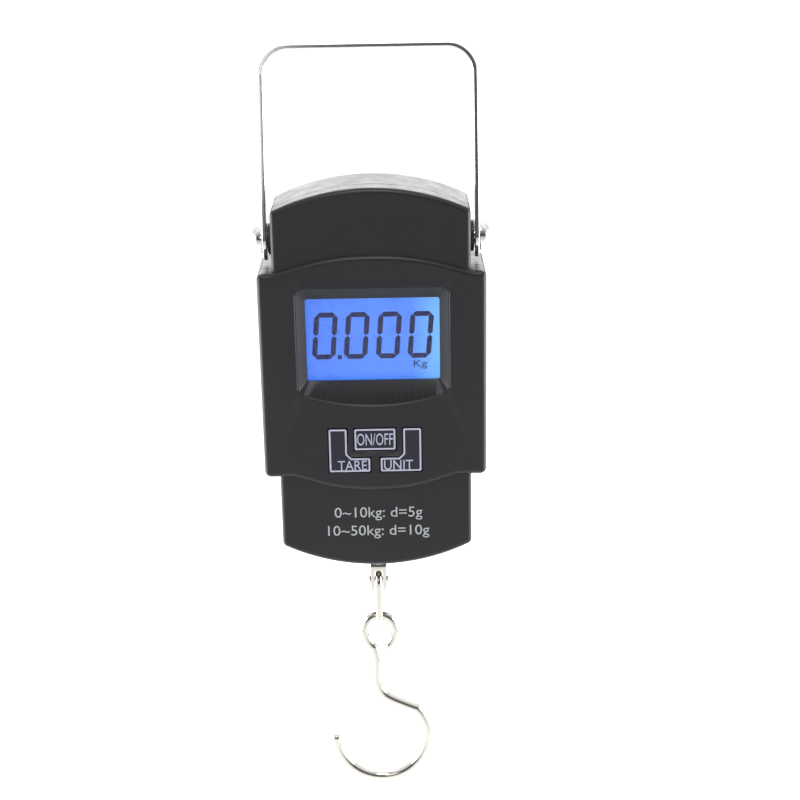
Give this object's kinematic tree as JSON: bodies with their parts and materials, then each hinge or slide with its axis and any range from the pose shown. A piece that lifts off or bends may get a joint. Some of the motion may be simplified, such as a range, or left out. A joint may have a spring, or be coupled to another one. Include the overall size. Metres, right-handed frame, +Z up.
{
  "type": "digital fish scale",
  "caption": "Hand-held digital hanging scale: black casing with a back-lit display and keys, swinging in a flat metal bail handle, with an oval link and a bent wire hook below.",
  "frame": {"origin": "middle of the underside of the handle's grip bar, where a finger or a wall hook carries the scale", "axes": "+X to the right seen from the front, -Y out of the display, +Z up, with the casing hanging upright and the handle leaning 13 degrees back from it"},
  "size_m": [0.0694, 0.0319, 0.2367],
  "materials": {
    "black_plastic": "satin, finely textured",
    "dark_plastic": "matt",
    "key_plastic": "satin, near-black navy",
    "chrome": "polished chrome plate",
    "nickel": "bright nickel plate",
    "zinc_steel": "zinc plated steel",
    "aluminium": "milled",
    "clear_window": "clear acrylic pane",
    "blue_lcd": "blue back-lit liquid crystal glass",
    "white_plastic": "matt white",
    "circuit_board": "solder mask green",
    "battery_wrap": "plain printed sleeve",
    "gauge_film": "polyimide film",
    "red_lead": "insulated wire",
    "black_lead": "insulated wire"
  },
  "bodies": {
    "handle": {"handle_strap": "chrome"},
    "casing": {"battery_left": "battery_wrap", "battery_right": "battery_wrap", "battery_tray": "dark_plastic", "board_screw_bottom_left": "zinc_steel", "board_screw_bottom_right": "zinc_steel", "board_screw_top_left": "zinc_steel", "board_screw_top_right": "zinc_steel", "case_screw_bottom_left": "zinc_steel", "case_screw_bottom_right": "zinc_steel", "case_screw_top_left": "zinc_steel", "case_screw_top_right": "zinc_steel", "clevis_pin": "nickel", "contact_left": "nickel", "contact_right": "nickel", "controller_chip": "dark_plastic", "display_window": "clear_window", "front_shell": "black_plastic", "hook_clevis": "nickel", "lcd_backlight": "white_plastic", "lcd_contact_strip": "dark_plastic", "lcd_glass": "blue_lcd", "load_cell": "aluminium", "lock_nut": "zinc_steel", "main_board": "circuit_board", "pivot_screw_left": "chrome", "pivot_screw_right": "chrome", "pivot_washer_left": "dark_plastic", "pivot_washer_right": "dark_plastic", "power_lead_negative": "black_lead", "power_lead_positive": "red_lead", "rear_shell": "black_plastic", "signal_lead": "white_plastic", "spring_left": "nickel", "spring_right": "nickel", "stem_nut": "zinc_steel", "strain_gauge_left": "gauge_film", "strain_gauge_right": "gauge_film", "switch_on_off": "zinc_steel", "switch_tare": "zinc_steel", "switch_unit": "zinc_steel", "yoke": "zinc_steel", "yoke_bolt": "zinc_steel"},
    "key_on_off": {"key_on_off": "key_plastic"},
    "key_tare": {"key_tare": "key_plastic"},
    "key_unit": {"key_unit": "key_plastic"},
    "battery_cover": {"battery_cover": "black_plastic"},
    "link": {"hook_link": "nickel"},
    "hook": {"hook": "nickel"}
  },
  "joints": [
    {"name": "casing_swing", "type": "hinge", "parent": "handle", "child": "casing", "pos_m": [0, -0.01209, -0.05237], "axis": [1, 0, 0], "range_deg": [-105, 79]},
    {"name": "key_on_off_press", "type": "slide", "parent": "casing", "child": "key_on_off", "axis": [0, 1, 0], "range_m": [0, 0.0005], "stiffness_N_per_m": 300, "springref_m": -0.0005},
    {"name": "key_tare_press", "type": "slide", "parent": "casing", "child": "key_tare", "axis": [0, 1, 0], "range_m": [0, 0.0005], "stiffness_N_per_m": 300, "springref_m": -0.0005},
    {"name": "key_unit_press", "type": "slide", "parent": "casing", "child": "key_unit", "axis": [0, 1, 0], "range_m": [0, 0.0005], "stiffness_N_per_m": 300, "springref_m": -0.0005},
    {"name": "battery_cover_lift", "type": "slide", "parent": "casing", "child": "battery_cover", "axis": [0, 1, 0], "range_m": [0, 0.03]},
    {"name": "link_swing", "type": "hinge", "parent": "casing", "child": "link", "pos_m": [0, -0.01209, -0.16197], "axis": [1, 0, 0], "range_deg": [-65, 65]},
    {"name": "hook_swing", "type": "hinge", "parent": "link", "child": "hook", "pos_m": [0, -0.01209, -0.17717], "axis": [0, 1, 0], "range_deg": [-75, 75]}
  ]
}
